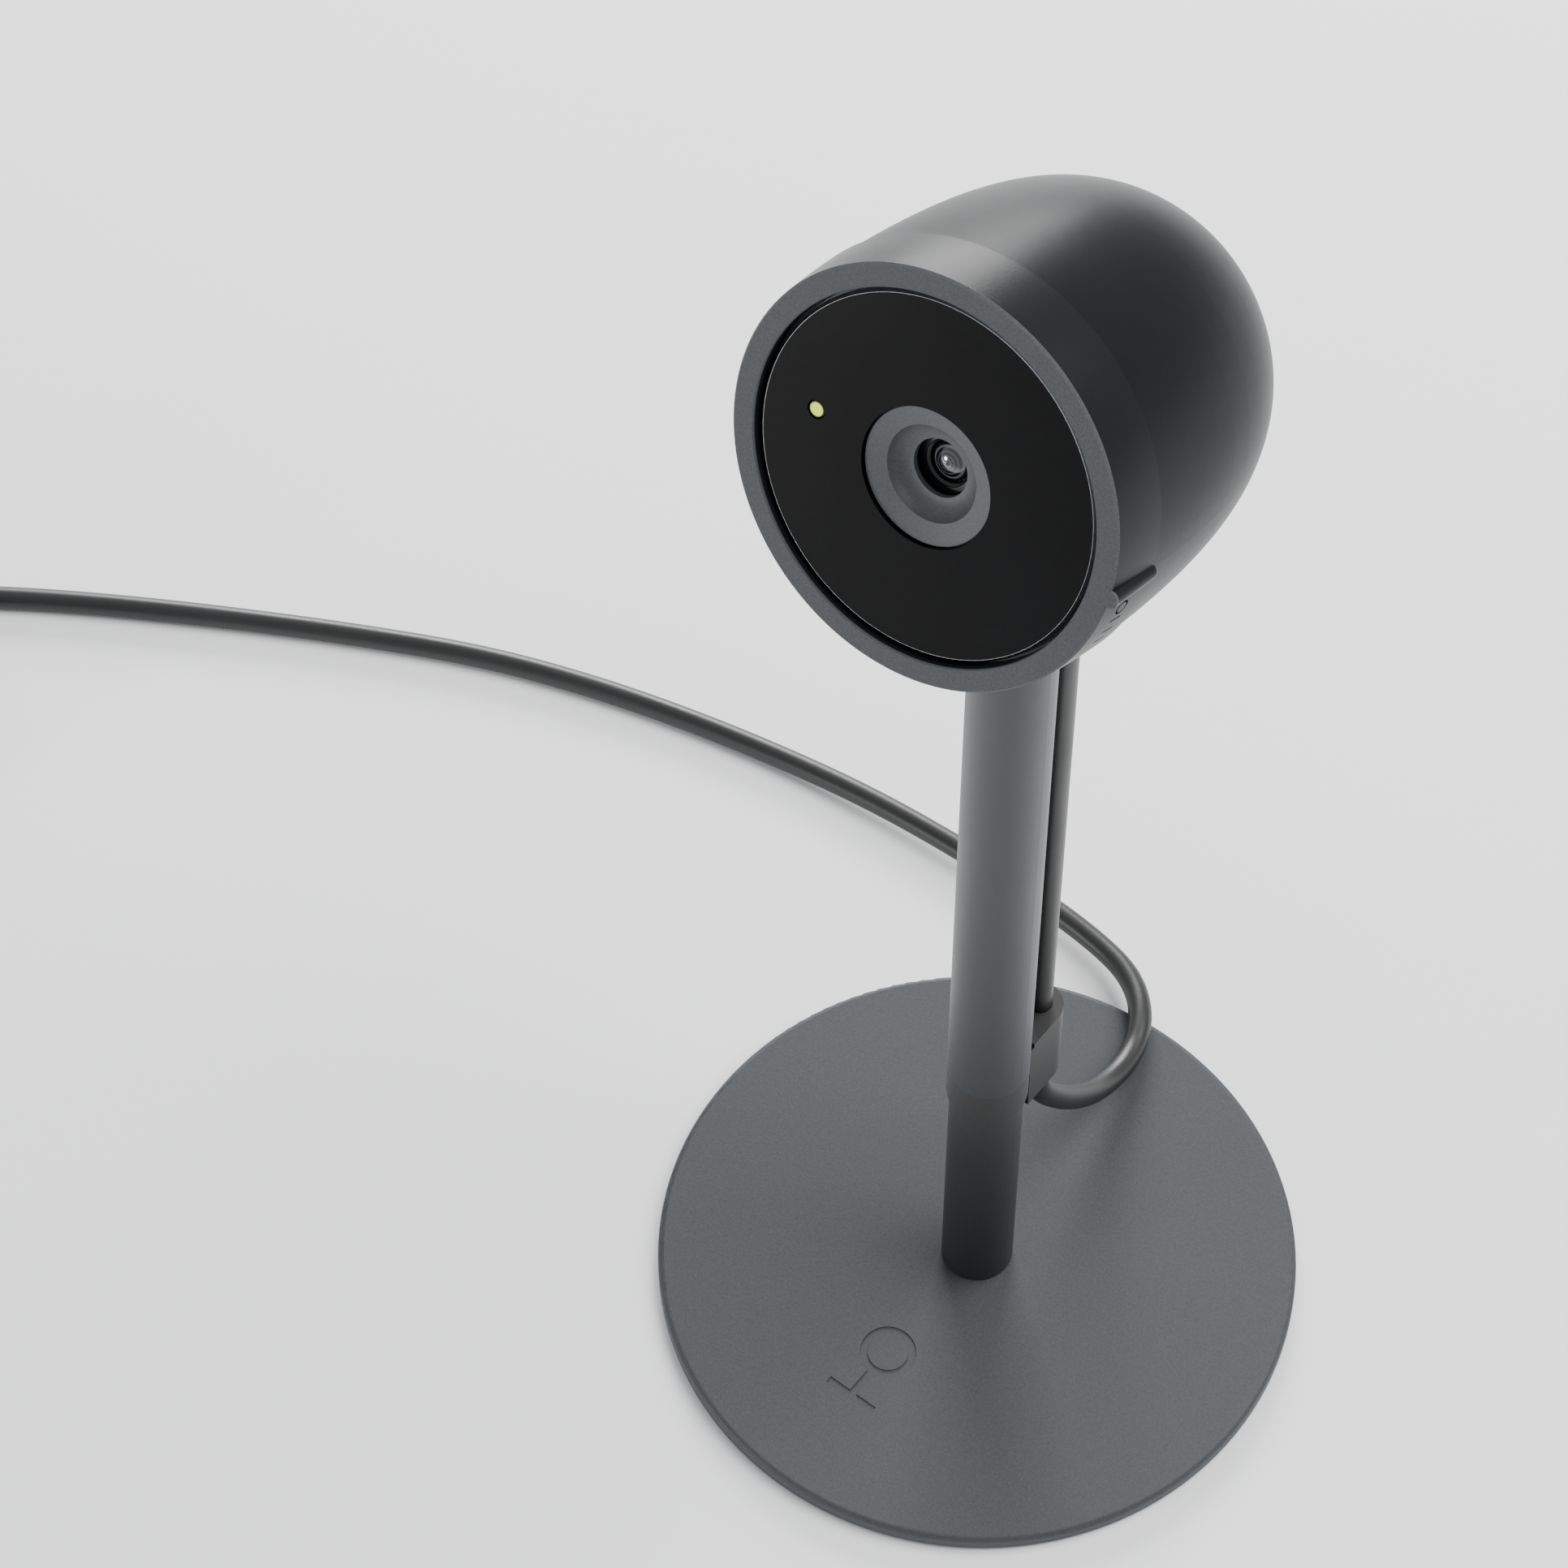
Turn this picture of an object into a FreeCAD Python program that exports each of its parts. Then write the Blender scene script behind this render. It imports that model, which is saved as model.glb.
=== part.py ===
import FreeCAD, Part
import math
import os

Vector = FreeCAD.Vector

# A small camera head on a telescoping pole with a flat round base. Millimetres, +Z up, origin at the
# middle of the base on the surface it stands on. The camera looks along -Y and slightly up.

# Clearances
fit = 0.05              # radial, for what turns or slides in a bore
play = 0.1              # between faces that slide past each other
seam = 0.25             # shadow line between the privacy ring and the rear shell

# Base
base_radius = 52.5
base_height = 3.5
base_edge = 1.0         # rounding of the upper rim
pad_radius = 50.0
pad_height = 0.8
mark_offset = 24.0      # the debossed pictogram lies this far in front of the pole
mark_radius = 4.6
mark_line = 1.3
mark_depth = 0.2

# Pole
tube_radius = 5.85
tube_wall = 1.0
tube_top = 134.0
bush_height = 6.0
sleeve_wall = 0.45
sleeve_bottom = 65.0
sleeve_length = 123.0
collar_height = 7.5
cap_plug = 10.0
cap_height = 5.0
cap_overhang = 1.05     # beyond the sleeve
screw_radius = 2.0      # base screw and tilt pin
screw_head = 3.8
foot_height = 9.0

# Cable
cable_radius = 2.0
cable_offset = 13.2     # from the pole's axis to the cable behind it
clip_bottom = sleeve_bottom - 17.0
clip_top = sleeve_bottom + 1.0
clip_half = 4.0
clip_wall = 1.55
boot_length = 14.0
boot_radius = 3.6
boot_lip = 0.7
boot_seat = 1.0         # the cap's arm reaches this far round the boot


# The free cable's route: down from the clip, over the base's rim and along the table. Its run from the pole
# outward is laid out for a base of one radius and spreads with it
route_base = 52.5
spread = base_radius / route_base
clip_route = [(0, cable_offset, clip_bottom), (0, cable_offset, clip_bottom * 5 / 6)]
spread_route = [
    (0, 17.6, 0.635 * clip_bottom), (0, 24.6, 0.404 * clip_bottom), (0, 33.0, 10.4), (-0.6, 43.2, 6.3),
    (-3.8, 51.2, 6.2), (-10.4, 57.0, 4.9), (-19.6, 59.4, 4.0), (-33.0, 60.3, 3.7), (-50.0, 60.1, 3.6),
    (-68.0, 59.0, 3.0), (-86.0, 56.4, 2.3), (-104.0, 52.6, cable_radius), (-122.0, 47.5, cable_radius),
    (-140.0, 40.8, cable_radius), (-158.0, 31.8, cable_radius), (-176.0, 21.9, cable_radius),
    (-194.0, 11.4, cable_radius), (-211.0, 0.6, cable_radius), (-228.0, -11.7, cable_radius),
]
free_route = clip_route + [(x * spread, y * spread, z) for x, y, z in spread_route]

coil_radius = 23.9      # at the middle of the turns
bundle_radius = 6.0
coil_lead = 16.0        # from the arriving cable's end to where it joins the turns
exit_lead = 16.85       # from where the leaving cable parts from the turns to its start
coil_exit_turn = 100.0  # degrees round the coil from where the cable enters to where it leaves
tie_wall = 0.5
tie_width = 6.0
end_length = 12.0
plug_length = 20.0
plug_width = 12.2
plug_height = 6.4
relief_length = 11.0
relief_radius = 3.0
relief_lip = 0.4
full_round = 0.1        # how far short of half the height a bar's rounding stops
shell_length = 6.6
shell_width = 8.3
shell_height = 2.5
shell_wall = 0.35

# Head: depths are measured back from the privacy ring's face, along the head's axis, which crosses the pole's
head_tilt = 21.56       # degrees above level
face_ahead = 25.03      # from the pole's axis to the ring's face
ring_radius = 29.39
ring_flare = 0.5        # how much wider the ring is at its seam
ring_bulge = 0.08
ring_lip = 3.29         # from the ring's side in to its opening
ring_flange = 2.5
ring_chamfer = 0.3
ring_turned = 40.0      # degrees that the ring and the shutter turn to close
seam_depth = 9.48
rib_radius = 1.2
rib_overhang = 0.9
sign_radius = 1.15      # the engraved signs beside the rib
sign_line = 0.3
sign_depth = 0.3
sign_start = 7.0        # degrees below the rib
sign_pitch = 4.2
sign_count = 4
head_length = 58.77
shell_step = 0.23       # how much wider the shell is at the seam than the ring's side
shoulder_taper = 0.26   # the side's curve is steered this far in from there, at the depth below
shoulder_at = 40.4
crown_taper = 3.92      # and the rounded end's this far in
shell_thickness = 1.9
glass_gap = 0.5         # round the front glass, inside the ring's opening
glass_depth = 0.9
glass_thickness = 1.2
glass_bevel = 0.45
surround_radius = 9.8
surround_depth = 1.5
surround_edge = 0.2
bowl_radius = 6.8
bowl_depth = 2.3
bowl_hollow = 0.4       # how far the bowl's side dips below a straight cone, outward and back
window_radius = 4.1
window_depth = 4.4
surround_back = 5.2
carrier_gap = 0.27      # between the front carrier and the shell's inside
carrier_plate = 1.5
carrier_lip = 0.2
pivot_seat = 0.8
carrier_wall = 1.8
carrier_back = 13.0
blade_depth = 5.35
blade_thickness = 0.3
blade_radius = 5.2
blade_arm = 14.0
blade_half = 1.6        # half the arm's width
blade_eye = 2.2         # radius round the pivot
pivot_radius = 0.8
barrel_radius = 6.0
barrel_front = 6.5
barrel_back = 14.6
barrel_wall = 1.4
dome_radius = 3.0
dome_front = 5.9
dome_base = 7.1
lens_back = 8.4
lens_step = 0.35        # the retainer's steps down to the dome
lens_step_depth = 0.25
retainer_front = 6.1
iris_front = 8.6
iris_thickness = 0.6
iris_opening = 1.3
rear_lens_front = 10.0
rear_lens_thickness = 2.0
filter_front = 13.4
filter_thickness = 0.5
holder_depth = 12.0
holder_thickness = 1.4
board_inset = 3.45      # the round boards are this much smaller than the carrier
sensor_depth = 15.1
sensor_size = (6.4, 4.8, 0.8)
sensor_board_size = 18.0
holder_wall = 1.4
connector_size = (10.0, 3.0)
connector_side = 4.0    # above the lens axis
board_thickness = 1.2
main_board_depth = 20.0
post_inset = 2.5        # from the round boards' edge in to the posts
post_radius = 2.2
small_screw_radius = 1.0
small_screw_head = 1.9
small_screw_depth = 1.4
led_offset = 17.5
led_size = (2.2, 1.6, 0.8)
microphone_size = (3.5, 2.6, 1.0)
microphone_places = [(-6.0, -15.0), (6.0, -15.0)]
pipe_radius = 1.1
pipe_gap = 0.25
spreader_inset = 3.5    # from the posts in to the heat spreader's edge
spreader_thickness = 1.6
thermal_gap = 1.0

# Tilt and pan joint
pin_rise = 20.0         # above the pole's cap
pin_inset = 7.32        # from the shell's underside in to the pin
tongue_half = 4.0       # across the tongue, along the pin
tongue_radius = 4.5
washer_thickness = 0.5
washer_inset = 0.2      # washers are this much smaller than what they sit against
ear_thickness = 2.2
ear_half = 6.0
arch_thickness = 2.0
arch_gap = 0.5
swivel_gap = 0.3        # thickness of the swivel washer
knuckle_height = 3.0
spigot_radius = 3.0
retainer_radius = 5.0
retainer_height = 1.3
slot_front = 7.0        # the slot under the head reaches this far ahead of and behind the pin
slot_back = 10.4

# Sizes that follow from the ones above
tube_inner = tube_radius - tube_wall
bush_radius = tube_radius + play
sleeve_inner = bush_radius + fit
sleeve_radius = sleeve_inner + sleeve_wall
sleeve_top = sleeve_bottom + sleeve_length
cap_radius = sleeve_radius + cap_overhang
cap_top = sleeve_top + cap_height
ring_opening = ring_radius - ring_lip
glass_radius = ring_opening - glass_gap
shell_radius = ring_radius + shell_step
carrier_radius = shell_radius - shell_thickness - carrier_gap
board_radius = carrier_radius - board_inset
post_circle = board_radius - post_inset
spreader_radius = post_circle - spreader_inset
glass_back = glass_depth + glass_thickness
shoulder_depth = ring_flange + play
plate_back = shoulder_depth + carrier_plate
lens_bore = barrel_radius - barrel_wall
holder_back = holder_depth + holder_thickness
sensor_board_depth = sensor_depth + sensor_size[2]
main_board_back = main_board_depth + board_thickness
ear_inner = tongue_half + washer_thickness + play
ear_outer = ear_inner + ear_thickness
pin_height = cap_top + pin_rise
pin_drop = shell_radius - pin_inset
head_height = pin_height + pin_drop
pin_up = -pin_drop * math.cos(math.radians(head_tilt))
pin_depth = face_ahead + pin_drop * math.sin(math.radians(head_tilt))
post_reach = post_circle * math.cos(math.radians(45))
post_places = [(x * post_reach, y * post_reach) for x in (1, -1) for y in (1, -1)]


def rod(radius, low, high, x=0.0, y=0.0):
    return Part.makeCylinder(radius, high - low, Vector(x, y, low))


def tube(outer, inner, low, high, x=0.0, y=0.0):
    return rod(outer, low, high, x, y).cut(rod(inner, low, high, x, y))


def box(x, y, z):
    # A box from three (low, high) pairs
    return Part.makeBox(x[1] - x[0], y[1] - y[0], z[1] - z[0], Vector(x[0], y[0], z[0]))


def turned(points):
    # A solid of revolution about Z from (radius, z) corners
    corners = [Vector(r, 0, z) for r, z in points]
    face = Part.Face(Part.makePolygon(corners + corners[:1]))
    return face.revolve(Vector(0, 0, 0), Vector(0, 0, 1), 360)


def turned_edges(edges):
    return Part.Face(Part.Wire(edges)).revolve(Vector(0, 0, 0), Vector(0, 0, 1), 360)


# Head pieces are built standing on their axis, face up, with z = 0 where the axis crosses the pole's

def up(depth):
    return face_ahead - depth


def disc(radius, front, back, x=0.0, y=0.0):
    return rod(radius, up(back), up(front), x, y)


def hoop(outer, inner, front, back, x=0.0, y=0.0):
    return tube(outer, inner, up(back), up(front), x, y)


def slab(x, y, front, back):
    return box(x, y, (up(back), up(front)))


def at(radius, depth):
    return Vector(radius, 0, up(depth))


def in_head(shape):
    # Leans a head piece to its resting tilt and lifts it to its height
    placed = shape.copy()
    placed.rotate(Vector(0, 0, 0), Vector(1, 0, 0), 90 - head_tilt)
    placed.translate(Vector(0, 0, head_height))
    return placed


def write(name, *solids):
    shape = solids[0] if len(solids) == 1 else Part.makeCompound(list(solids))
    if not shape.isValid() or shape.Volume <= 0:
        raise ValueError(name + " isn't a valid solid")
    shape.exportStep("parts/" + name + ".step")


# Base and lower tube

def base_plate():
    plate = rod(base_radius, pad_height, base_height)
    rims = [e for e in plate.Edges if abs(e.BoundBox.ZMin - base_height) < 1e-6 and len(e.Vertexes) == 1]
    plate = plate.makeFillet(base_edge, rims)
    hole = rod(screw_radius + fit, 0, base_height)
    sink = screw_head - screw_radius
    countersink = Part.makeCone(screw_head + fit, screw_radius + fit, sink, Vector(0, 0, pad_height))
    return plate.cut(hole).cut(countersink).cut(base_mark())


def base_mark():
    # A plain pictogram of a round lens on a stand
    low, half_line = base_height - mark_depth, mark_line / 2
    lens = tube(mark_radius, mark_radius - mark_line, low, base_height, 0, -mark_offset)
    stem_start = -mark_offset - mark_radius + half_line
    stem_end = -mark_offset - 2 * mark_radius
    stem = box((-half_line, half_line), (stem_end, stem_start), (low, base_height))
    bar = box((-mark_radius, mark_radius), (stem_end - mark_line, stem_end), (low, base_height))
    return lens.fuse([stem, bar]).removeSplitter()


def base_screw():
    head = Part.makeCone(screw_head, screw_radius, screw_head - screw_radius, Vector(0, 0, pad_height))
    return head.fuse(rod(screw_radius, pad_height, base_height + foot_height - 1)).removeSplitter()


def lower_tube():
    return tube(tube_radius, tube_inner, base_height, tube_top)


def guide_bush():
    # Sits on the lower tube's top with a spigot inside it, and runs in the sleeve
    cap = tube(bush_radius, tube_inner - tube_wall, tube_top, tube_top + bush_height)
    spigot = tube(tube_inner, tube_inner - tube_wall, tube_top - bush_height, tube_top)
    return cap.fuse(spigot).removeSplitter()


# Stem: sleeve, collar with cable clip, cap, boot and the cable's upright stretch

def collar_clip():
    collar = rod(sleeve_radius, sleeve_bottom - collar_height, sleeve_bottom)
    reach = cable_offset + cable_radius + fit + clip_wall
    arm = box((-clip_half, clip_half), (0, reach - clip_half), (clip_bottom, sleeve_bottom))
    back = rod(clip_half, clip_bottom, sleeve_bottom, 0, reach - clip_half)
    tab = box((-clip_half, clip_half), (sleeve_radius + play, reach - clip_half), (sleeve_bottom, clip_top))
    tab = tab.fuse(rod(clip_half, sleeve_bottom, clip_top, 0, reach - clip_half))
    body = collar.fuse([arm, back, tab]).removeSplitter()
    body = body.cut(rod(tube_radius + fit, clip_bottom, sleeve_bottom))
    below = (clip_bottom, sleeve_bottom - collar_height)
    body = body.cut(box((-cap_radius, cap_radius), (-cap_radius, tube_radius), below))
    return body.cut(rod(cable_radius + fit, clip_bottom, clip_top, 0, cable_offset))


def stem_cap():
    plug = rod(sleeve_inner, sleeve_top - cap_plug, sleeve_top)
    top = rod(cap_radius, sleeve_top, cap_top)
    arm = box((-boot_radius - boot_seat, boot_radius + boot_seat), (0, cable_offset), (sleeve_top, cap_top))
    end = rod(boot_radius + boot_seat, sleeve_top, cap_top, 0, cable_offset)
    body = plug.fuse([top, arm, end]).removeSplitter()
    body = body.cut(rod(spigot_radius + fit, sleeve_top - cap_plug, cap_top))
    return body.cut(rod(cable_radius + fit, sleeve_top, sleeve_top + cap_height / 2, 0, cable_offset))


def cable_boot():
    low = sleeve_top - boot_length
    cone = Part.makeCone(cable_radius + boot_lip, boot_radius, boot_length, Vector(0, cable_offset, low))
    return cone.cut(rod(cable_radius + fit, low, sleeve_top, 0, cable_offset))


def riser_cable():
    return rod(cable_radius, clip_bottom, sleeve_top + cap_height / 2 - play, 0, cable_offset)


# The free cable, its coil, tie and plug

def unit(v):
    return v.normalize() if v.Length else v


def corner_arc(before, corner, after):
    # The arc that rounds a corner of the route, as large as its two runs allow
    back, on = before.sub(corner), after.sub(corner)
    shorter = min(back.Length, on.Length)
    turn = math.pi - back.getAngle(on)
    cut = 0.45 * shorter
    radius = cut / math.tan(turn / 2)
    start, end = corner + unit(back) * cut, corner + unit(on) * cut
    inward = unit(unit(back) + unit(on))
    middle = corner + inward * (math.hypot(radius, cut) - radius)
    return start, middle, end, radius


def cable_tube(points):
    places = [Vector(*p) for p in points]
    edges, here, radii = [], places[0], []
    for before, corner, after in zip(places, places[1:], places[2:]):
        start, middle, end, radius = corner_arc(before, corner, after)
        edges += [Part.LineSegment(here, start).toShape(), Part.Arc(start, middle, end).toShape()]
        here = end
        radii.append(round(radius, 1))
    edges.append(Part.LineSegment(here, places[-1]).toShape())
    path = Part.Wire(edges)
    section = Part.Wire(Part.makeCircle(cable_radius, places[0], places[1] - places[0]))
    solid = path.makePipeShell([section], True, False)
    expected = math.pi * cable_radius ** 2 * path.Length
    print("cable's bends", radii)
    print("cable's length", round(path.Length, 1), "volume ratio", round(solid.Volume / expected, 4))
    return solid


def coil_frame():
    # Where the cable joins the turns, the coil's middle, and the direction it arrives in
    last, before = Vector(*free_route[-1]), Vector(*free_route[-2])
    heading = unit(Vector(last.x - before.x, last.y - before.y, 0))
    left = Vector(-heading.y, heading.x, 0)
    entry = last + heading * coil_lead
    outer_turn = coil_radius + cable_radius
    middle = entry + left * outer_turn
    return Vector(middle.x, middle.y, bundle_radius + tie_wall), math.atan2(-left.y, -left.x)


def on_coil(radius, angle, z):
    middle, _ = coil_frame()
    return Vector(middle.x + radius * math.cos(angle), middle.y + radius * math.sin(angle), z)


def exit_frame():
    # Where the cable leaves the turns, at the plug's half height, and the direction in which it goes on
    angle = coil_frame()[1] + math.radians(coil_exit_turn)
    start = on_coil(coil_radius + cable_radius, angle, plug_height / 2)
    return start, Vector(-math.sin(angle), math.cos(angle), 0)


def cable_coil():
    return Part.makeTorus(coil_radius, bundle_radius, coil_frame()[0])


def cable_tie():
    # A band round the bundle, on the side away from the entry
    angle = coil_frame()[1] + math.radians(coil_exit_turn + 90)
    middle = on_coil(coil_radius, angle, bundle_radius + tie_wall)
    along = Vector(-math.sin(angle), math.cos(angle), 0)
    start = middle - along * (tie_width / 2)
    band = Part.makeCylinder(bundle_radius + tie_wall, tie_width, start, along)
    return band.cut(cable_coil())


def laid(shape, ahead):
    # Turns a shape built along +X on the table to the exit direction, starting this far along it
    start, along = exit_frame()
    placed = shape.copy()
    placed.rotate(Vector(0, 0, 0), Vector(0, 0, 1), math.degrees(math.atan2(along.y, along.x)))
    placed.translate(start + along * ahead)
    return placed


def cable_end():
    return laid(Part.makeCylinder(cable_radius, end_length, Vector(0, 0, 0), Vector(1, 0, 0)), exit_lead)


def rounded_bar(length, width, height, radius):
    bar = box((0, length), (-width / 2, width / 2), (-height / 2, height / 2))
    return bar.makeFillet(radius, [e for e in bar.Edges if abs(e.BoundBox.XLength - length) < 1e-6])


def plug_body():
    thin = cable_radius + relief_lip
    relief = Part.makeCone(thin, relief_radius, relief_length, Vector(0, 0, 0), Vector(1, 0, 0))
    grip = rounded_bar(plug_length, plug_width, plug_height, plug_height / 2 - full_round)
    grip.translate(Vector(relief_length, 0, 0))
    return laid(relief.fuse(grip).removeSplitter(), exit_lead + end_length)


def plug_shell():
    outside = rounded_bar(shell_length, shell_width, shell_height, shell_height / 2 - full_round / 2)
    inner_width, inner_height = shell_width - 2 * shell_wall, shell_height - 2 * shell_wall
    inside = rounded_bar(shell_length, inner_width, inner_height, inner_height / 2 - full_round / 2)
    inside.translate(Vector(shell_wall, 0, 0))
    return laid(outside.cut(inside), exit_lead + end_length + relief_length + plug_length)


# Swivel: knuckle, its retainer and screw, and the tilt pin with its washers

def knuckle():
    bottom = cap_top + swivel_gap + fit
    foot = rod(cap_radius, bottom, bottom + knuckle_height)
    neck = box((-tongue_half, tongue_half), (-tongue_radius, tongue_radius), (bottom, pin_height))
    eye = across(tongue_radius, tongue_half)
    spigot = rod(spigot_radius, sleeve_top - cap_plug, bottom)
    body = foot.fuse([neck, eye, spigot]).removeSplitter()
    body = body.cut(across(screw_radius, tongue_half))
    return body.cut(rod(small_screw_radius, sleeve_top - cap_plug, cap_top))


def across(radius, half):
    # A cylinder on the tilt axis
    return Part.makeCylinder(radius, 2 * half, Vector(-half, 0, pin_height), Vector(1, 0, 0))


def friction_washers():
    pair = []
    for start in (-tongue_half - washer_thickness, tongue_half):
        corner = Vector(start, 0, pin_height)
        washer = Part.makeCylinder(tongue_radius - washer_inset, washer_thickness, corner, Vector(1, 0, 0))
        pair.append(washer.cut(across(screw_radius, ear_outer)))
    return pair


def swivel_washer():
    return tube(cap_radius - washer_inset, spigot_radius + fit, cap_top, cap_top + swivel_gap)


def pan_retainer():
    top = sleeve_top - cap_plug - play
    return tube(retainer_radius, small_screw_radius, top - retainer_height, top)


def pan_screw():
    top = sleeve_top - cap_plug - play - retainer_height
    head = rod(small_screw_head, top - small_screw_head / 2, top)
    return head.fuse(rod(small_screw_radius, top, sleeve_top)).removeSplitter()


# Head: shells

def shell_profile(inset):
    # The rear shell's outline, or the same curve one wall further in, closed along the axis
    end = head_length - inset
    curve = Part.BezierCurve()
    curve.setPoles([
        at(shell_radius - inset, seam_depth), at(shell_radius - shoulder_taper - inset, shoulder_at),
        at(shell_radius - crown_taper - inset, end), at(0, end),
    ])
    axis = Part.LineSegment(at(0, end), at(0, seam_depth)).toShape()
    front = Part.LineSegment(at(0, seam_depth), at(shell_radius - inset, seam_depth)).toShape()
    return turned_edges([curve.toShape(), axis, front])


def joint_slot():
    # The opening in the shell's underside that the knuckle's tongue swings in
    sides = (-ear_inner, ear_inner)
    return slab(sides, (-shell_radius - 1, pin_up), pin_depth - slot_front, pin_depth + slot_back)


def rear_shell():
    return in_head(shell_profile(0).cut(shell_profile(shell_thickness)).cut(joint_slot()))


def tilt_bracket():
    # Two ears with an arch over the tongue, standing on the inside of the shell
    top = pin_up + tongue_radius + play + arch_thickness + arch_gap
    front, back = pin_depth - ear_half, pin_depth + ear_half
    block = slab((-ear_outer, ear_outer), (-shell_radius, top), front, back)
    inner = shell_profile(shell_thickness + fit)
    tongue_room = slab((-ear_inner, ear_inner), (-shell_radius, top - arch_thickness), front, back)
    bracket = in_head(block.common(inner).cut(tongue_room))
    return bracket.cut(across(screw_radius + fit, ear_outer))


def privacy_ring():
    front, side, back = ring_chamfer, ring_radius, seam_depth - seam
    middle = at(side + (ring_flare / 2) + ring_bulge, (front + back) / 2)
    band = Part.Arc(at(side, front), middle, at(side + ring_flare, back)).toShape()
    lip, bevel = ring_opening, ring_chamfer / 2
    corners = [
        at(side + ring_flare, back), at(carrier_radius + fit, back), at(carrier_radius + fit, ring_flange),
        at(lip, ring_flange), at(lip, bevel), at(lip + bevel, 0), at(side - ring_chamfer, 0), at(side, front),
    ]
    edges = [Part.LineSegment(a, b).toShape() for a, b in zip(corners, corners[1:])]
    body = turned_edges([band] + edges).fuse(finger_rib()).removeSplitter()
    return in_head(body.cut(Part.makeCompound(ring_marks())))


def finger_rib():
    # A half-round rib along the ring, on the right as seen from the front, with a rounded rear end
    middle = ring_radius + play
    rear = seam_depth + rib_overhang - rib_radius
    bar = disc(rib_radius, 0.0, rear, middle, 0)
    tip = Part.makeSphere(rib_radius, Vector(middle, 0, up(rear)))
    rib = bar.fuse(tip)
    root = seam_depth - seam - play
    inside = disc(carrier_radius + carrier_wall / 2, 0.0, root)
    behind = disc(shell_radius + seam, root, seam_depth + 2 * rib_radius)
    return rib.cut(inside).cut(behind)


def ring_marks():
    # An engraved circle and three short bars round the ring beside the rib: a plain open sign
    middle, ahead = up(seam_depth / 2), Vector(1, 0, 0)
    start = Vector(ring_radius + ring_flare / 2 - sign_depth, 0, middle)
    high = (middle - sign_radius, middle + sign_radius)
    marks = []
    for k in range(sign_count):
        if k == 0:
            outer = Part.makeCylinder(sign_radius, rib_radius, start, ahead)
            mark = outer.cut(Part.makeCylinder(sign_radius - sign_line, rib_radius, start, ahead))
        else:
            mark = box((start.x, start.x + rib_radius), (-sign_line / 2, sign_line / 2), high)
        mark.rotate(Vector(0, 0, 0), Vector(0, 0, 1), -sign_start - sign_pitch * k)
        marks.append(mark)
    return marks


def front_carrier():
    front = disc(glass_radius + carrier_lip, glass_back, shoulder_depth)
    plate = disc(carrier_radius, shoulder_depth, plate_back)
    wall = hoop(carrier_radius, carrier_radius - carrier_wall, plate_back, carrier_back)
    bosses = [disc(post_radius, plate_back, holder_depth, x, y) for x, y in post_places]
    body = front.fuse([plate, wall] + bosses).removeSplitter()
    body = body.cut(disc(surround_radius + fit, glass_back, plate_back))
    body = body.cut(disc(pipe_radius + fit, glass_back, plate_back, -led_offset, 0))
    body = body.cut(disc(pivot_radius, plate_back - pivot_seat, plate_back, 0, blade_arm))
    for x, y in post_places:
        body = body.cut(disc(small_screw_radius + fit, plate_back, holder_depth, x, y))
    return in_head(body)


def front_glass():
    r, bevel = glass_radius, glass_bevel
    hole = surround_radius + fit
    body = turned([
        (hole, up(glass_depth)), (r - bevel, up(glass_depth)), (r, up(glass_depth + bevel)),
        (r, up(glass_back)), (hole, up(glass_back)),
    ])
    return in_head(body.cut(disc(pipe_radius + pipe_gap, glass_depth, glass_back, -led_offset, 0)))


def lens_surround():
    # A dished ring with a round bowl that narrows to the window in front of the lens
    middle = at((bowl_radius + window_radius) / 2, (bowl_depth + window_depth) / 2)
    bend = middle + Vector(bowl_hollow, 0, -bowl_hollow)
    bowl = Part.Arc(at(bowl_radius, bowl_depth), bend, at(window_radius, window_depth)).toShape()
    rim = surround_radius - surround_edge
    corners = [
        at(window_radius, window_depth), at(window_radius, surround_back), at(surround_radius, surround_back),
        at(surround_radius, surround_depth + surround_edge), at(rim, surround_depth),
        at(bowl_radius, bowl_depth),
    ]
    edges = [Part.LineSegment(a, b).toShape() for a, b in zip(corners, corners[1:])]
    return in_head(turned_edges([bowl] + edges))


# Head: shutter

def shutter_blade():
    # Built closed, with its disc on the lens axis, then swung aside to open
    back = blade_depth + blade_thickness
    arm = slab((-blade_half, blade_half), (0, blade_arm), blade_depth, back)
    body = disc(blade_radius, blade_depth, back).fuse([arm, disc(blade_eye, blade_depth, back, 0, blade_arm)])
    body = body.removeSplitter().cut(disc(pivot_radius + fit, blade_depth, back, 0, blade_arm))
    body.rotate(Vector(0, blade_arm, 0), Vector(0, 0, 1), ring_turned)
    return in_head(body)


def shutter_pivot():
    return in_head(disc(pivot_radius, plate_back - pivot_seat, holder_depth, 0, blade_arm))


# Head: lens and boards

def lens_barrel():
    return in_head(hoop(barrel_radius, lens_bore, barrel_front, barrel_back))


def lens_retainer():
    # Two steps down to the dome
    inner, outer, tread = dome_radius + fit, lens_bore, retainer_front + lens_step_depth
    return in_head(turned([
        (inner, up(tread + lens_step_depth)), (inner + lens_step, up(tread)),
        (inner + lens_step, up(retainer_front)), (outer - lens_step, up(retainer_front)),
        (outer, up(tread)), (outer, up(lens_back)), (inner, up(lens_back)),
    ]))


def front_lens():
    rise = dome_base - dome_front
    sphere_radius = (dome_radius ** 2 + rise ** 2) / (2 * rise)
    sphere = Part.makeSphere(sphere_radius, Vector(0, 0, up(dome_front + sphere_radius)))
    cap = sphere.common(disc(dome_radius, dome_front - 1, dome_base))
    return in_head(cap.fuse(disc(dome_radius, dome_base, lens_back)).removeSplitter())


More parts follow.
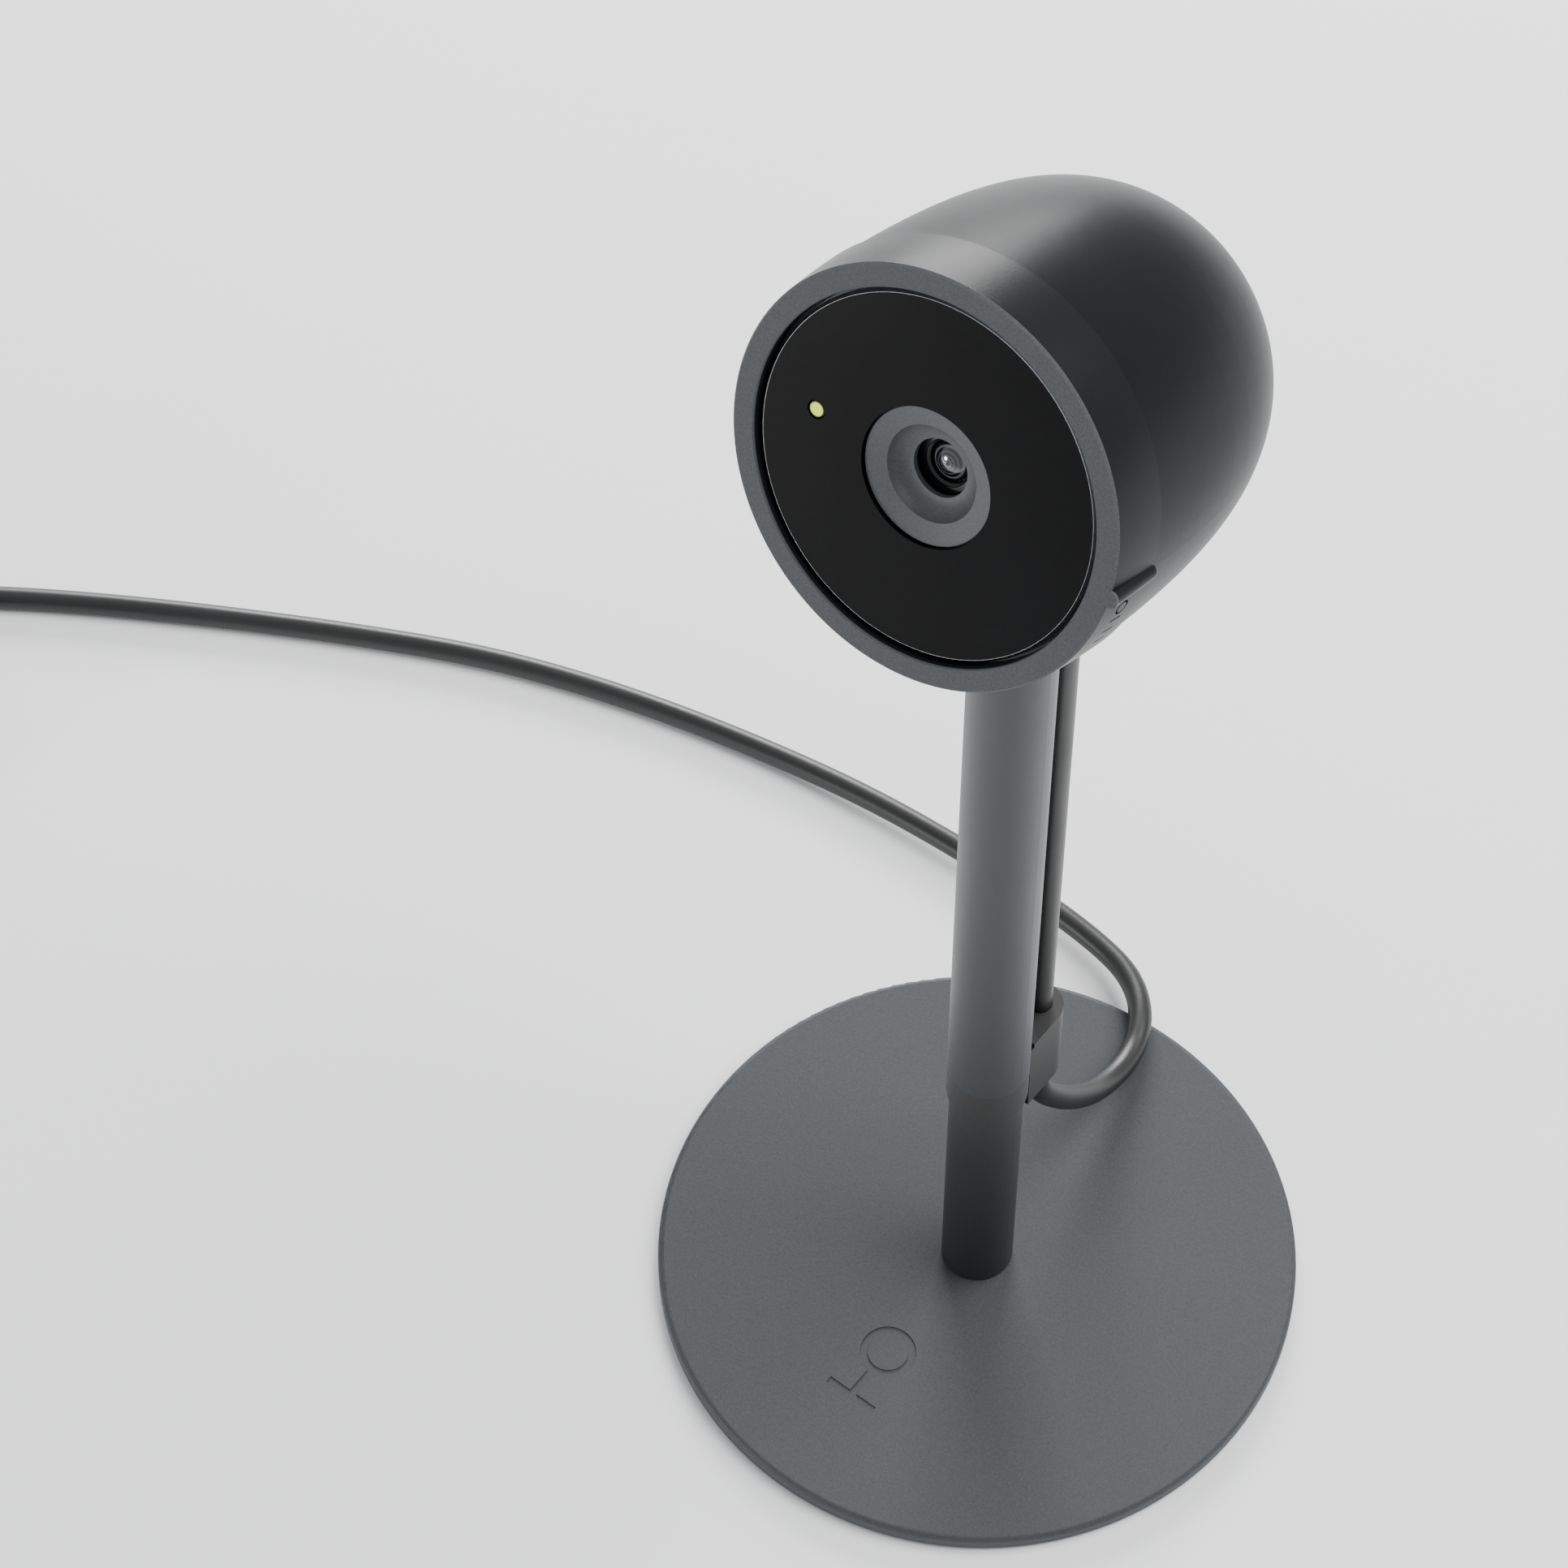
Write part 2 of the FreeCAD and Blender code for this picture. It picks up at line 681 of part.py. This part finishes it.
def iris_ring():
    return in_head(hoop(lens_bore, iris_opening, iris_front, iris_front + iris_thickness))


def rear_lens():
    return in_head(disc(lens_bore, rear_lens_front, rear_lens_front + rear_lens_thickness))


def infrared_filter():
    return in_head(disc(lens_bore, filter_front, filter_front + filter_thickness))


def lens_holder():
    plate = disc(board_radius, holder_depth, holder_back)
    half = sensor_board_size / 2
    inner = half - holder_wall
    frame = slab((-half, half), (-half, half), holder_back, sensor_board_depth)
    frame = frame.cut(slab((-inner, inner), (-inner, inner), holder_back, sensor_board_depth))
    body = plate.fuse(frame).removeSplitter().cut(disc(barrel_radius + fit, holder_depth, sensor_board_depth))
    holes = [(small_screw_radius + fit, x, y) for x, y in post_places]
    holes += [(pipe_radius + pipe_gap, -led_offset, 0)]
    for radius, x, y in holes:
        body = body.cut(disc(radius, holder_depth, holder_back, x, y))
    return in_head(body)


def chip(size, front, x=0.0, y=0.0):
    wide, high = size[0] / 2, size[1] / 2
    return in_head(slab((x - wide, x + wide), (y - high, y + high), front, front + size[2]))


def main_board():
    body = disc(board_radius, main_board_depth, main_board_back)
    for x, y in post_places:
        body = body.cut(disc(small_screw_radius + fit, main_board_depth, main_board_back, x, y))
    return in_head(body)


def board_connector():
    front = sensor_board_depth + board_thickness
    return chip(connector_size + (main_board_depth - front,), front, 0, connector_side)


def board_spacers():
    bore = small_screw_radius + fit
    return [in_head(hoop(post_radius, bore, holder_back, main_board_depth, x, y)) for x, y in post_places]


def chassis_screws():
    screws = []
    for x, y in post_places:
        head = disc(small_screw_head, main_board_back, main_board_back + small_screw_depth, x, y)
        shank = disc(small_screw_radius, plate_back + play, main_board_back, x, y)
        screws.append(in_head(head.fuse(shank).removeSplitter()))
    return screws


def microphones():
    front = main_board_depth - microphone_size[2]
    return [chip(microphone_size, front, x, y) for x, y in microphone_places]


def main():
    os.makedirs("parts", exist_ok=True)
    write("base_plate", base_plate())
    write("foot_pad", rod(pad_radius, 0, pad_height))
    write("base_screw", base_screw())
    write("tube_foot", tube(tube_inner, screw_radius + fit, base_height, base_height + foot_height))
    write("lower_tube", lower_tube())
    write("guide_bush", guide_bush())
    write("free_cable", cable_tube(free_route))
    write("cable_coil", cable_coil())
    write("cable_tie", cable_tie())
    write("cable_end", cable_end())
    write("plug_body", plug_body())
    write("plug_shell", plug_shell())

    write("sleeve", tube(sleeve_radius, sleeve_inner, sleeve_bottom, sleeve_top))
    write("collar_clip", collar_clip())
    write("stem_cap", stem_cap())
    write("cable_boot", cable_boot())
    write("riser_cable", riser_cable())
    write("swivel_washer", swivel_washer())

    write("knuckle", knuckle())
    write("pan_retainer", pan_retainer())
    write("pan_screw", pan_screw())
    write("tilt_pin", across(screw_radius, ear_outer))
    write("friction_washers", *friction_washers())

    write("rear_shell", rear_shell())
    write("tilt_bracket", tilt_bracket())
    write("front_carrier", front_carrier())
    write("front_glass", front_glass())
    write("lens_surround", lens_surround())
    write("shutter_pivot", shutter_pivot())
    write("lens_barrel", lens_barrel())
    write("lens_retainer", lens_retainer())
    write("front_lens", front_lens())
    write("iris_ring", iris_ring())
    write("rear_lens", rear_lens())
    write("infrared_filter", infrared_filter())
    write("lens_holder", lens_holder())
    write("image_sensor", chip(sensor_size, sensor_depth))
    write("sensor_board", chip((sensor_board_size, sensor_board_size, board_thickness), sensor_board_depth))
    write("board_connector", board_connector())
    write("board_spacers", *board_spacers())
    write("main_board", main_board())
    write("chassis_screws", *chassis_screws())
    led_front = main_board_depth - led_size[2]
    write("light_pipe", in_head(disc(pipe_radius, glass_depth + play, led_front, -led_offset, 0)))
    write("status_led", chip(led_size, led_front, -led_offset, 0))
    write("microphones", *microphones())
    write("thermal_pad", in_head(disc(spreader_radius / 2, main_board_back, main_board_back + thermal_gap)))
    spreader_front = main_board_back + thermal_gap
    spreader_back = spreader_front + spreader_thickness
    write("heat_spreader", in_head(disc(spreader_radius, spreader_front, spreader_back)))

    write("privacy_ring", privacy_ring())
    write("shutter_blade", shutter_blade())


main()
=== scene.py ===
import math

import bpy
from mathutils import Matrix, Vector


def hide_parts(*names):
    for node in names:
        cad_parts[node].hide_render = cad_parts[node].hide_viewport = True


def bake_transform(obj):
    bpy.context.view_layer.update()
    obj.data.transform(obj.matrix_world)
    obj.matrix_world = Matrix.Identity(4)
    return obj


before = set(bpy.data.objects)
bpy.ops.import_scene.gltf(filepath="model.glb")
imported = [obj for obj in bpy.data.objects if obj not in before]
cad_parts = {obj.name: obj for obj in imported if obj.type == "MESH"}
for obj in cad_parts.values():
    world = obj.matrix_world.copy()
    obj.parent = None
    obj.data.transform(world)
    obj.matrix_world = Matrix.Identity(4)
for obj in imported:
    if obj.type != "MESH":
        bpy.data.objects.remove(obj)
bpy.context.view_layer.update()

mm = 0.001

# The head's axis runs forward from where it crosses the pole's; depths are from the ring's face, in metres
head = {"crossing": (0.0, 0.0, 0.2353), "forward": (0.0, -0.93, 0.3675), "face": 0.02503}


# Shader maths: one value in a node tree, and one class per material

class Value:
    def __init__(self, tree, socket):
        self.tree = tree
        self.socket = socket

    def math(self, operation, first, second):
        node = self.tree.nodes.new("ShaderNodeMath")
        node.operation = operation
        plug(self.tree, first, node.inputs[0])
        plug(self.tree, second, node.inputs[1])
        return Value(self.tree, node.outputs[0])

    def __add__(self, other):
        return self.math("ADD", self, other)

    def __radd__(self, other):
        return self.math("ADD", other, self)

    def __sub__(self, other):
        return self.math("SUBTRACT", self, other)

    def __rsub__(self, other):
        return self.math("SUBTRACT", other, self)

    def __mul__(self, other):
        return self.math("MULTIPLY", self, other)

    def __rmul__(self, other):
        return self.math("MULTIPLY", other, self)


def plug(tree, value, socket):
    if isinstance(value, Value):
        tree.links.new(value.socket, socket)
    elif isinstance(value, tuple) and len(value) == 3 and socket.type == "RGBA":
        socket.default_value = (*value, 1.0)
    else:
        socket.default_value = value


class Finish:
    def __init__(self, name, **constants):
        self.material = bpy.data.materials.new(name)
        self.material.use_nodes = True
        self.tree = self.material.node_tree
        self.shader = self.tree.nodes["Principled BSDF"]
        self.put(**constants)

    def put(self, **sockets):
        for name, value in sockets.items():
            plug(self.tree, value, self.shader.inputs[name.replace("_", " ")])

    def node(self, kind, settings, sockets, out=0):
        made = self.tree.nodes.new("ShaderNode" + kind)
        for name, value in settings.items():
            setattr(made, name, value)
        for name, value in sockets.items():
            plug(self.tree, value, made.inputs[name])
        return Value(self.tree, made.outputs[out])

    def place(self):
        return self.node("TexCoord", {}, {}, "Object")

    def noise(self, size, detail=2.0, rough=0.5):
        sockets = {"Vector": self.place(), "Scale": 1.0 / size, "Detail": detail, "Roughness": rough}
        return self.node("TexNoise", {}, sockets, 0)

    def tint(self, dark, light, factor):
        return self.node("Mix", {"data_type": "RGBA"}, {0: factor, 6: dark, 7: light}, 2)

    def vector(self, operation, first, second=None, out=0):
        sockets = {0: first} if second is None else {0: first, 1: second}
        return self.node("VectorMath", {"operation": operation}, sockets, out)

    def depth(self):
        fromCrossing = self.vector("SUBTRACT", self.place(), head["crossing"])
        return head["face"] - self.vector("DOT_PRODUCT", fromCrossing, head["forward"], "Value")

    def distance(self):
        fromCrossing = self.vector("SUBTRACT", self.place(), head["crossing"])
        across = self.vector("CROSS_PRODUCT", fromCrossing, head["forward"])
        return self.vector("LENGTH", across, out="Value")

    def above(self, value, edge, width):
        limits = {"Value": value, "From Min": edge - width / 2, "From Max": edge + width / 2}
        return self.node("MapRange", {"interpolation_type": "SMOOTHSTEP"}, limits)

    def bump(self, height, strength, distance):
        return self.node("Bump", {}, {"Height": height, "Strength": strength, "Distance": distance})


def shade(grey, cool=0.0):
    return (grey * (1 - cool), grey, grey * (1 + cool))


def speckled(finish, look):
    # Colour, roughness and height: speckle over a soft cloud, with a bump as fine as the speckle
    speck = finish.noise(look["grain"], 3.0, 0.7)
    cloud = finish.noise(look["cloud"], 3.0, 0.5)
    level = speck * look["contrast"] + (0.5 - 0.5 * look["contrast"]) + (cloud - 0.5) * 0.12
    cool = look.get("cool", 0.0)
    colour = finish.tint(shade(look["dark"], cool), shade(look["light"], cool), level)
    rough = look["rough"] + (cloud - 0.5) * 0.12 + (speck - 0.5) * 0.1
    return colour, rough, speck


def grained(name, look):
    finish = Finish(name, Specular_IOR_Level=look.get("specular", 0.5), Metallic=look.get("metal", 0.0))
    colour, rough, speck = speckled(finish, look)
    finish.put(Base_Color=colour, Roughness=rough)
    finish.put(Normal=finish.bump(speck, look["bump"], look["grain"] * 0.25))
    return finish.material


looks = {
    "greyPaint": {
        "grain": 0.00036, "cloud": 0.03, "contrast": 1.3, "dark": 0.026,
        "light": 0.058, "rough": 0.55, "bump": 0.3, "cool": 0.09, "specular": 0.35,
    },
    "greyPlastic": {
        "grain": 0.0003, "cloud": 0.02, "contrast": 1.3, "dark": 0.055,
        "light": 0.115, "rough": 0.5, "bump": 0.3, "cool": 0.05, "specular": 0.35,
    },
    "darkShell": {
        "grain": 0.00024, "cloud": 0.025, "contrast": 0.7, "dark": 0.006,
        "light": 0.011, "rough": 0.36, "bump": 0.12, "cool": 0.12, "specular": 0.06,
    },
    "greySleeve": {
        "grain": 0.00026, "cloud": 0.03, "contrast": 0.7, "dark": 0.022,
        "light": 0.034, "rough": 0.42, "bump": 0.1, "cool": 0.1, "specular": 0.35,
    },
    "darkTube": {
        "grain": 0.00026, "cloud": 0.03, "contrast": 0.7, "dark": 0.012,
        "light": 0.02, "rough": 0.4, "bump": 0.12, "cool": 0.1,
    },
    "blackPlastic": {
        "grain": 0.0004, "cloud": 0.02, "contrast": 0.9, "dark": 0.004,
        "light": 0.012, "rough": 0.5, "bump": 0.2,
    },
    "blackRubber": {
        "grain": 0.0005, "cloud": 0.02, "contrast": 0.9, "dark": 0.005,
        "light": 0.012, "rough": 0.75, "bump": 0.35,
    },
    "jacket": {
        "grain": 0.0006, "cloud": 0.015, "contrast": 0.7, "dark": 0.006,
        "light": 0.012, "rough": 0.42, "bump": 0.15,
    },
    "darkMetal": {
        "grain": 0.0004, "cloud": 0.02, "contrast": 0.6, "dark": 0.03,
        "light": 0.05, "rough": 0.4, "bump": 0.1,
    },
    "steel": {
        "grain": 0.0003, "cloud": 0.008, "contrast": 0.6, "dark": 0.42,
        "light": 0.62, "rough": 0.3, "bump": 0.05, "metal": 1.0,
    },
    "aluminium": {
        "grain": 0.0003, "cloud": 0.01, "contrast": 0.6, "dark": 0.55,
        "light": 0.7, "rough": 0.42, "bump": 0.15, "metal": 1.0,
    },
    "lensBlack": {
        "grain": 0.0002, "cloud": 0.004, "contrast": 0.5, "dark": 0.003,
        "light": 0.008, "rough": 0.32, "bump": 0.05,
    },
    "padGrey": {
        "grain": 0.0004, "cloud": 0.01, "contrast": 0.8, "dark": 0.25,
        "light": 0.35, "rough": 0.8, "bump": 0.3,
    },
    "boardGreen": {
        "grain": 0.0009, "cloud": 0.004, "contrast": 1.2, "dark": 0.01,
        "light": 0.04, "rough": 0.4, "bump": 0.1,
    },
}
paints = {name: grained(name, look) for name, look in looks.items()}


# Where the grey face gives way to the dark side, and where the glass's bevel starts
greyFace = {"depth": 0.34 * mm, "edge": 0.06 * mm}
polishedBevel = {"radius": 25.12 * mm, "edge": 0.06 * mm}


def turningRing():
    # Grey grain on the front face, the shell's dark finish behind it
    finish = Finish("turningRing", Specular_IOR_Level=0.1)
    face, faceRough, speck = speckled(finish, looks["greyPlastic"])
    side, sideRough, _ = speckled(finish, looks["darkShell"])
    behind = finish.above(finish.depth(), greyFace["depth"], greyFace["edge"])
    finish.put(Base_Color=finish.tint(face, side, behind))
    finish.put(Roughness=faceRough * (1.0 - behind) + sideRough * behind)
    finish.put(Normal=finish.bump(speck, 0.2, 0.00008))
    return finish.material


def blackGlass():
    # Near-black, with a bright polished bevel round it
    finish = Finish("blackGlass", Specular_IOR_Level=0.08)
    haze = finish.noise(0.02, 2.0)
    bevel = finish.above(finish.distance(), polishedBevel["radius"], polishedBevel["edge"])
    black = finish.tint((0.0012, 0.0013, 0.0016), (0.002, 0.0022, 0.0028), haze)
    finish.put(Base_Color=finish.tint(black, (0.6, 0.62, 0.65), bevel), Metallic=bevel)
    finish.put(Roughness=0.2 + haze * 0.03)
    return finish.material


def coatedGlass():
    finish = Finish("coatedGlass", Specular_IOR_Level=0.9, Coat_Weight=0.6, Coat_Roughness=0.02)
    cloud = finish.noise(0.004, 1.0)
    finish.put(Base_Color=finish.tint((0.004, 0.004, 0.006), (0.012, 0.012, 0.02), cloud))
    finish.put(Roughness=0.06 + cloud * 0.03)
    return finish.material


# Radius and width in millimetres, and how light each ring is
domeRings = [(0.55, 0.14, 0.3), (1.0, 0.16, 0.2), (1.55, 0.2, 0.16), (2.2, 0.3, 0.35)]
ringEdge = 0.08 * mm


def domeGlass():
    # Deep glass: rings of the barrel seen through it, lighter toward its rim
    finish = Finish("domeGlass", Specular_IOR_Level=0.9, Coat_Weight=1.0, Coat_Roughness=0.02)
    out = finish.distance()
    rings = 0.0
    for radius, width, level in domeRings:
        rise = finish.above(out, (radius - width / 2) * mm, ringEdge)
        fall = finish.above(out, (radius + width / 2) * mm, ringEdge)
        rings = (rise - fall) * level + rings
    finish.put(Base_Color=finish.tint((0.004, 0.0045, 0.006), (0.45, 0.47, 0.5), rings))
    finish.put(Roughness=0.08 + finish.noise(0.003, 1.0) * 0.03)
    return finish.material


# The light pipe's end, and how far out it shines
pipeGlow = {"middle": (-17.5 * mm, -22.35 * mm, 244.13 * mm), "radius": 0.95 * mm, "edge": 0.12 * mm}


def glow():
    finish = Finish("glow", Emission_Strength=0.9)
    out = finish.vector("LENGTH", finish.vector("SUBTRACT", finish.place(), pipeGlow["middle"]), out="Value")
    rim = finish.above(out, pipeGlow["radius"], pipeGlow["edge"])
    finish.put(Base_Color=finish.tint((0.5, 0.62, 0.0), (0.01, 0.012, 0.002), rim), Roughness=0.4)
    finish.put(Emission_Color=finish.tint((0.62, 0.8, 0.0), (0.02, 0.025, 0.0), rim))
    return finish.material


for make in (turningRing, blackGlass, coatedGlass, domeGlass, glow):
    paints[make.__name__] = make()
print("finishes made:", len(paints))

coats = {
    "greyPaint": ["base_plate"],
    "greyPlastic": ["lens_surround"],
    "turningRing": ["privacy_ring"],
    "darkShell": ["rear_shell"],
    "greySleeve": ["sleeve"],
    "darkTube": ["lower_tube"],
    "blackPlastic": [
        "collar_clip", "stem_cap", "swivel_washer", "friction_washers", "guide_bush", "front_carrier",
        "lens_holder", "lens_barrel", "board_connector", "shutter_blade", "plug_body",
    ],
    "blackRubber": ["foot_pad", "cable_boot", "cable_tie"],
    "jacket": ["riser_cable", "free_cable", "cable_coil", "cable_end"],
    "darkMetal": ["knuckle", "tilt_bracket"],
    "steel": [
        "base_screw", "tube_foot", "pan_retainer", "pan_screw", "tilt_pin", "shutter_pivot", "board_spacers",
        "chassis_screws", "microphones", "plug_shell",
    ],
    "aluminium": ["heat_spreader"],
    "lensBlack": ["lens_retainer", "iris_ring", "image_sensor"],
    "padGrey": ["thermal_pad"],
    "boardGreen": ["sensor_board", "main_board"],
    "blackGlass": ["front_glass"],
    "coatedGlass": ["rear_lens", "infrared_filter"],
    "domeGlass": ["front_lens"],
    "glow": ["light_pipe", "status_led"],
}


def dress(piece, paint):
    piece.data.materials.clear()
    piece.data.materials.append(paints[paint])


for paint, nodes in coats.items():
    for node in nodes:
        dress(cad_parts[node], paint)
print("frame pieces dressed:", sum(len(n) for n in coats.values()), "of", len(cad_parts))


# Camera, floor and lights

cameraLook = {
    "lens": 128.22, "sensor": 36.0, "far": 20.0,
    "at": (0.24192, -0.35887, 0.81784), "lean": 32.684, "turn": 38.19,
}
camera = bpy.data.cameras.new("camera")
camera.lens = cameraLook["lens"]
camera.sensor_width = cameraLook["sensor"]
camera.clip_end = cameraLook["far"]
cameraObject = bpy.data.objects.new("camera", camera)
cameraObject.location = cameraLook["at"]
cameraObject.rotation_euler = (math.radians(cameraLook["lean"]), 0, math.radians(cameraLook["turn"]))
bpy.context.scene.collection.objects.link(cameraObject)
bpy.context.scene.camera = cameraObject


def addMesh(name, vertices, faces, paint=None):
    mesh = bpy.data.meshes.new(name)
    mesh.from_pydata([tuple(v) for v in vertices], [], faces)
    mesh.update()
    piece = bpy.data.objects.new(name, mesh)
    bpy.context.scene.collection.objects.link(piece)
    if paint:
        mesh.materials.append(paints[paint])
    for polygon in mesh.polygons:
        polygon.use_smooth = True
    return piece


floorLook = {"half": 3.0, "grey": 0.93}
half = floorLook["half"]
corners = [(-half, -half, 0), (half, -half, 0), (half, half, 0), (-half, half, 0)]
floor = addMesh("floor", corners, [(0, 1, 2, 3)])
floorFinish = Finish("floor", Specular_IOR_Level=0.2)
tone = floorFinish.noise(0.5, 2.0)
pale = floorLook["grey"]
floorFinish.put(Base_Color=floorFinish.tint(shade(pale * 0.99), shade(pale * 1.01), tone))
floorFinish.put(Roughness=0.6 + tone * 0.1)
floor.data.materials.append(floorFinish.material)

world = bpy.data.worlds.new("studio")
bpy.context.scene.world = world
world.use_nodes = True
world.node_tree.nodes["Background"].inputs["Color"].default_value = (0.93, 0.96, 1.0, 1)
world.node_tree.nodes["Background"].inputs["Strength"].default_value = 0.62

lamps = {
    "topLamp": {"at": (0.55, 0.55, 1.3), "to": (0.1, 0.1, 0), "size": (1.1, 1.1), "power": 30.0},
    "backLamp": {"at": (-0.75, 0.95, 0.5), "to": (0, 0, 0.25), "size": (0.6, 0.5), "power": 26.0},
    "cardLamp": {"at": (-0.46, -0.82, 0.17), "to": (0, 0, 0.24), "size": (0.14, 0.14), "power": 3.0},
}
for name, lamp in lamps.items():
    light = bpy.data.lights.new(name, "AREA")
    light.shape = "RECTANGLE"
    light.size, light.size_y = lamp["size"]
    light.energy = lamp["power"]
    lightObject = bpy.data.objects.new(name, light)
    lightObject.location = lamp["at"]
    aim = Vector(lamp["to"]) - Vector(lamp["at"])
    lightObject.rotation_euler = aim.to_track_quat("-Z", "Y").to_euler()
    bpy.context.scene.collection.objects.link(lightObject)
print("camera, floor and lights placed")


# The free cable: one smooth line from under the clip, over the base's rim, along the table and into its coil

cableLook = {
    "radius": 2.0,
    "sides": 20,
    "coilRadius": 23.9,
    "slot": 4.0,            # the turns lie this far apart
    "bundleMiddle": 6.5,    # height of the bundle's middle above the table
    "lead": 16.0,
    "wholeTurns": 6,
    "exitTurn": 100.0,      # degrees past the whole turns
    "pointsPerTurn": 16,
    "crossing": 190.0,      # degrees from the entry at which a turn moves to its next place
    "crossingWidth": 60.0,
    "endRun": 28.85,
}
route = [
    (0, 13.2, 48), (0, 13.2, 40.0), (0, 17.6, 30.5), (0, 24.6, 19.4), (0, 33.0, 10.4),
    (-0.6, 43.2, 6.3), (-3.8, 51.2, 6.2), (-10.4, 57.0, 4.9), (-19.6, 59.4, 4.0), (-33.0, 60.3, 3.7),
    (-50.0, 60.1, 3.6), (-68.0, 59.0, 3.0), (-86.0, 56.4, 2.3), (-104.0, 52.6, 2.0), (-122.0, 47.5, 2.0),
    (-140.0, 40.8, 2.0), (-158.0, 31.8, 2.0), (-176.0, 21.9, 2.0), (-194.0, 11.4, 2.0), (-211.0, 0.6, 2.0),
    (-228.0, -11.7, 2.0),
]
# Where each turn lies in the bundle: outward and upward from its middle, in turn spacings
places = [(0.5, -0.87), (-0.5, -0.87), (-1, 0), (-0.5, 0.87), (0, 0), (0.5, 0.87), (1, 0)]


def coilPoints(look):
    last, before = Vector(route[-1]), Vector(route[-2])
    heading = (last - before).normalized()
    left = Vector((-heading.y, heading.x, 0))
    entryRadius = look["coilRadius"] + look["radius"]
    entry = last + heading * look["lead"]
    middle = entry + left * entryRadius
    first = math.atan2(-left.y, -left.x)
    total = 360.0 * look["wholeTurns"] + look["exitTurn"]
    count = round(total / 360.0 * look["pointsPerTurn"])
    points = []
    for k in range(1, count + 1):
        turned = total * k / count
        since = (turned - look["crossing"]) / 360.0
        turn = math.floor(since) + 1
        share = min(1.0, max(0.0, (since - math.floor(since)) * 360.0 / look["crossingWidth"]))
        share = share * share * (3 - 2 * share)
        old, new = places[max(0, turn - 1)], places[min(len(places) - 1, max(0, turn))]
        if turn <= 0:
            share, old = 1.0, new
        outward = (old[0] + (new[0] - old[0]) * share) * look["slot"]
        upward = (old[1] + (new[1] - old[1]) * share) * look["slot"]
        radius = look["coilRadius"] + outward
        angle = first + math.radians(turned)
        height = look["bundleMiddle"] + upward
        points.append((middle.x + radius * math.cos(angle), middle.y + radius * math.sin(angle), height))
    leave = first + math.radians(total)
    along = Vector((-math.sin(leave), math.cos(leave), 0))
    start = Vector((middle.x + entryRadius * math.cos(leave), middle.y + entryRadius * math.sin(leave), 0))
    for ahead, height in ((8.0, 5.2), (16.0, 3.6), (22.0, 3.2), (look["endRun"], 3.2)):
        point = start + along * ahead
        points.append((point.x, point.y, height))
    return points


def smoothLine(name, points):
    # The smooth line that these points steer, as vertices read back from a bare curve
    curve = bpy.data.curves.new(name, "CURVE")
    curve.dimensions = "3D"
    curve.resolution_u = 8
    spline = curve.splines.new("NURBS")
    spline.points.add(len(points) - 1)
    for place, point in zip(spline.points, points):
        place.co = (point[0] * mm, point[1] * mm, point[2] * mm, 1.0)
    spline.order_u = 3
    spline.use_endpoint_u = True
    holder = bpy.data.objects.new(name, curve)
    mesh = bpy.data.meshes.new_from_object(holder)
    line = [v.co.copy() for v in mesh.vertices]
    bpy.data.meshes.remove(mesh)
    bpy.data.objects.remove(holder)
    bpy.data.curves.remove(curve)
    return line


def tubeAlong(name, line, radius, sides, paint):
    # A tube of rings that turn as little as they can from one to the next
    vertices, faces = [], []
    across = None
    for k, point in enumerate(line):
        along = (line[min(k + 1, len(line) - 1)] - line[max(k - 1, 0)]).normalized()
        if across is None:
            across = along.orthogonal().normalized()
        across = (across - along * across.dot(along)).normalized()
        other = along.cross(across)
        for s in range(sides):
            angle = 2 * math.pi * s / sides
            vertices.append(point + (across * math.cos(angle) + other * math.sin(angle)) * radius)
        if k:
            low = (k - 1) * sides
            for s in range(sides):
                t = (s + 1) % sides
                faces.append((low + s, low + t, low + sides + t, low + sides + s))
    faces.append(tuple(reversed(range(sides))))
    faces.append(tuple(range((len(line) - 1) * sides, len(line) * sides)))
    return addMesh(name, vertices, faces, paint)


cablePath = smoothLine("cableRoute", route + coilPoints(cableLook))
cable = tubeAlong("freeCable", cablePath, cableLook["radius"] * mm, cableLook["sides"], "jacket")
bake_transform(cable)
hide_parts("free_cable", "cable_coil", "cable_end")
cableLength = sum((b - a).length for a, b in zip(cablePath, cablePath[1:]))
print("free cable: points", len(cablePath), "length", round(cableLength, 4))
print("free cable laid")
